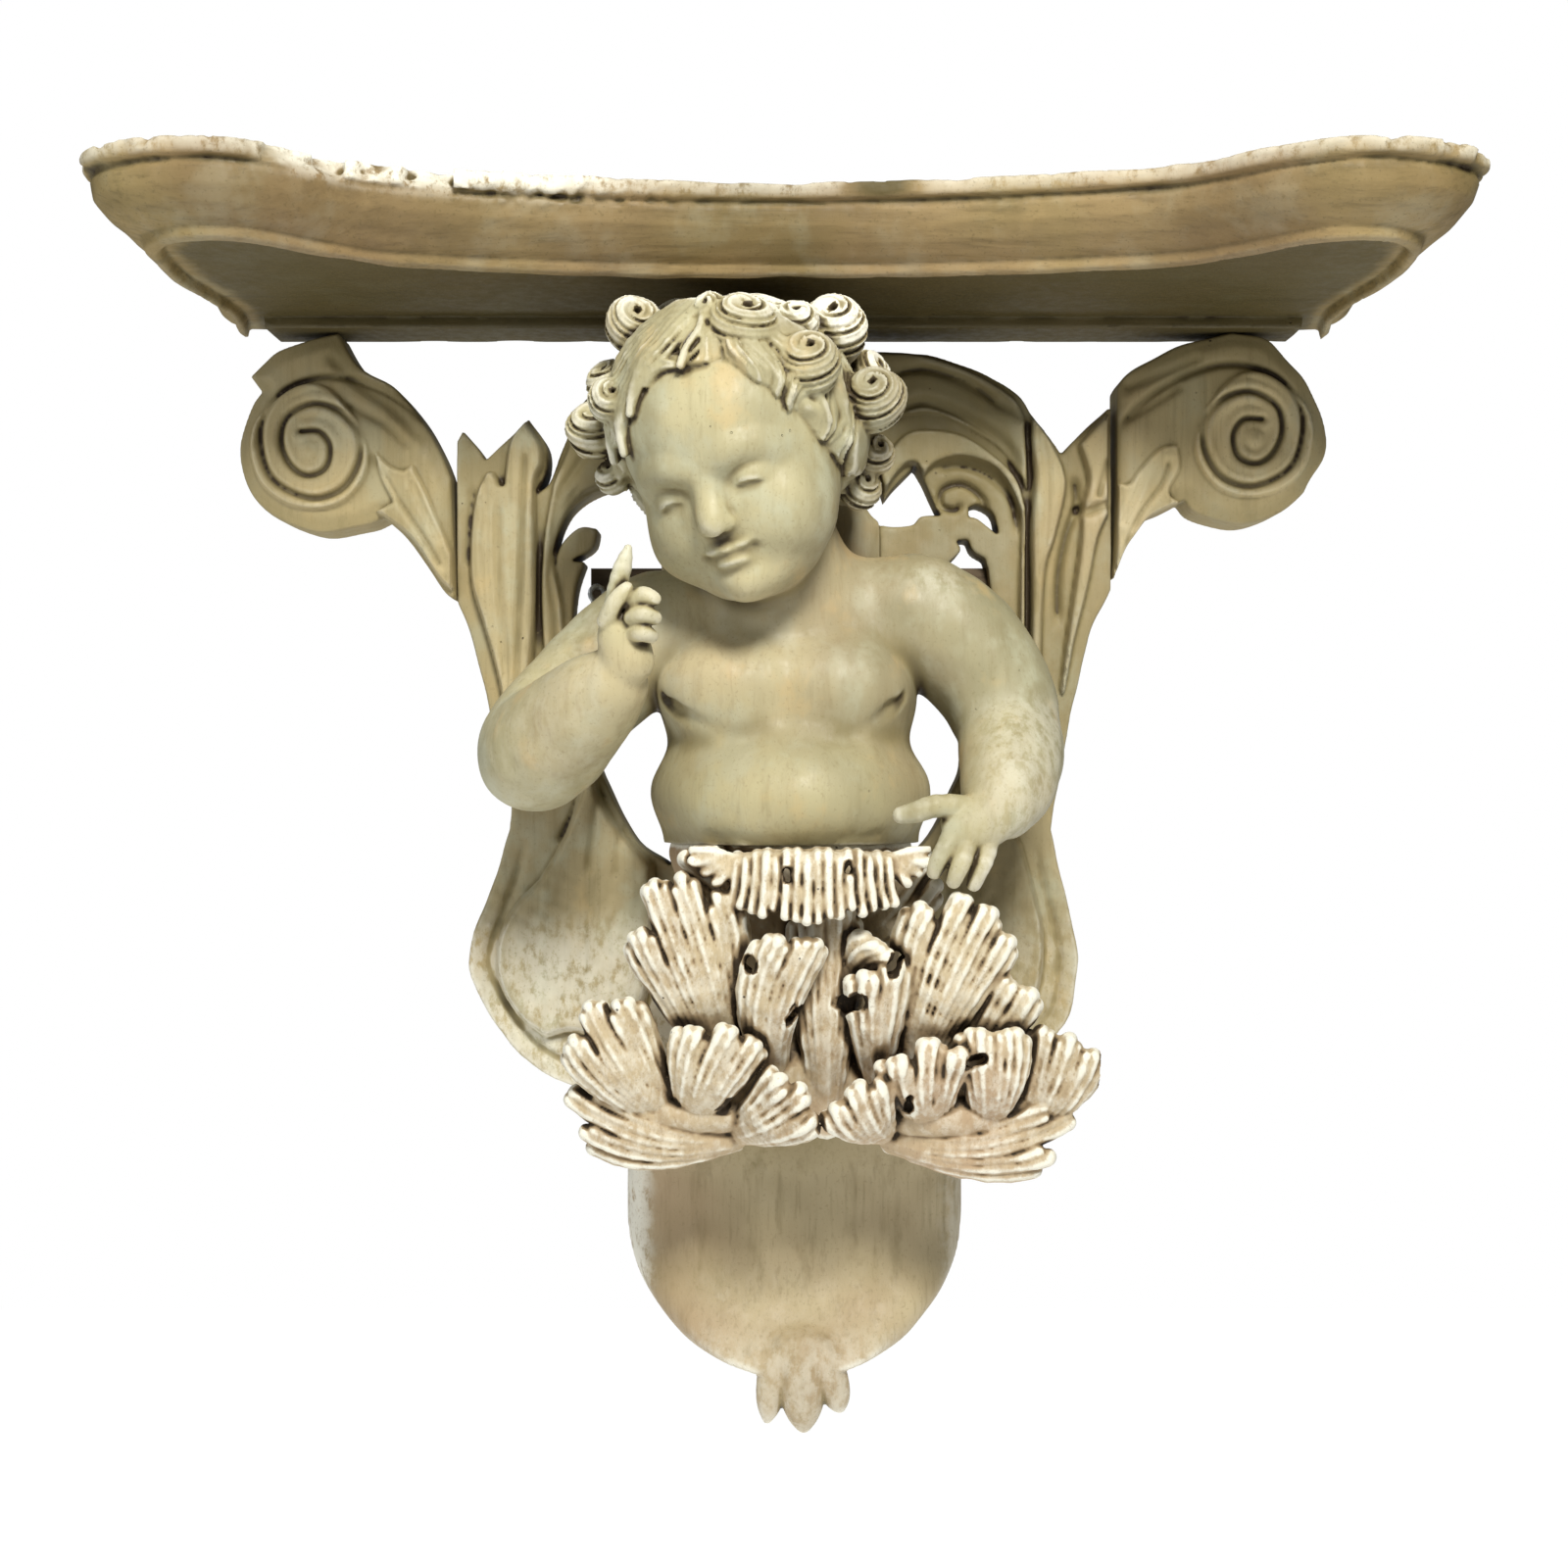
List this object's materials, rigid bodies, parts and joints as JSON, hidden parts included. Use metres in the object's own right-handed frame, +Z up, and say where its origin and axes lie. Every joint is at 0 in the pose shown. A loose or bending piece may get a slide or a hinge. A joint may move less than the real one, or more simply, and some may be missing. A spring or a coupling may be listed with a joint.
{
  "type": "angel figure corbel",
  "caption": "Carved wooden wall bracket: a half-length cherub rising from acanthus before an openwork scrolled board, under a moulded serpentine shelf, with a lobed drop below.",
  "frame": {"origin": "on the flat back of the board, where it bears on the wall, level with the figure's belly", "axes": "+X along the wall to the viewer's right, +Y into the wall, +Z up; the figure faces -Y"},
  "size_m": [0.7834, 0.259, 0.7604],
  "materials": {
    "bleached_wood": "bleached and waxed, matt",
    "shelf_wood": "worn, with gesso left on the top edge",
    "limed_wood": "limed, with gesso left in the flutes",
    "dark_wood": "dark, unplaned",
    "zinc": "dull zinc plating"
  },
  "bodies": {
    "root": {"shelf": "shelf_wood", "backboard": "bleached_wood", "volute_left": "bleached_wood", "volute_right": "bleached_wood", "rear_batten": "dark_wood", "hanging_eye": "zinc", "putto": "bleached_wood", "acanthus": "limed_wood", "pendant": "bleached_wood"}
  },
  "joints": []
}
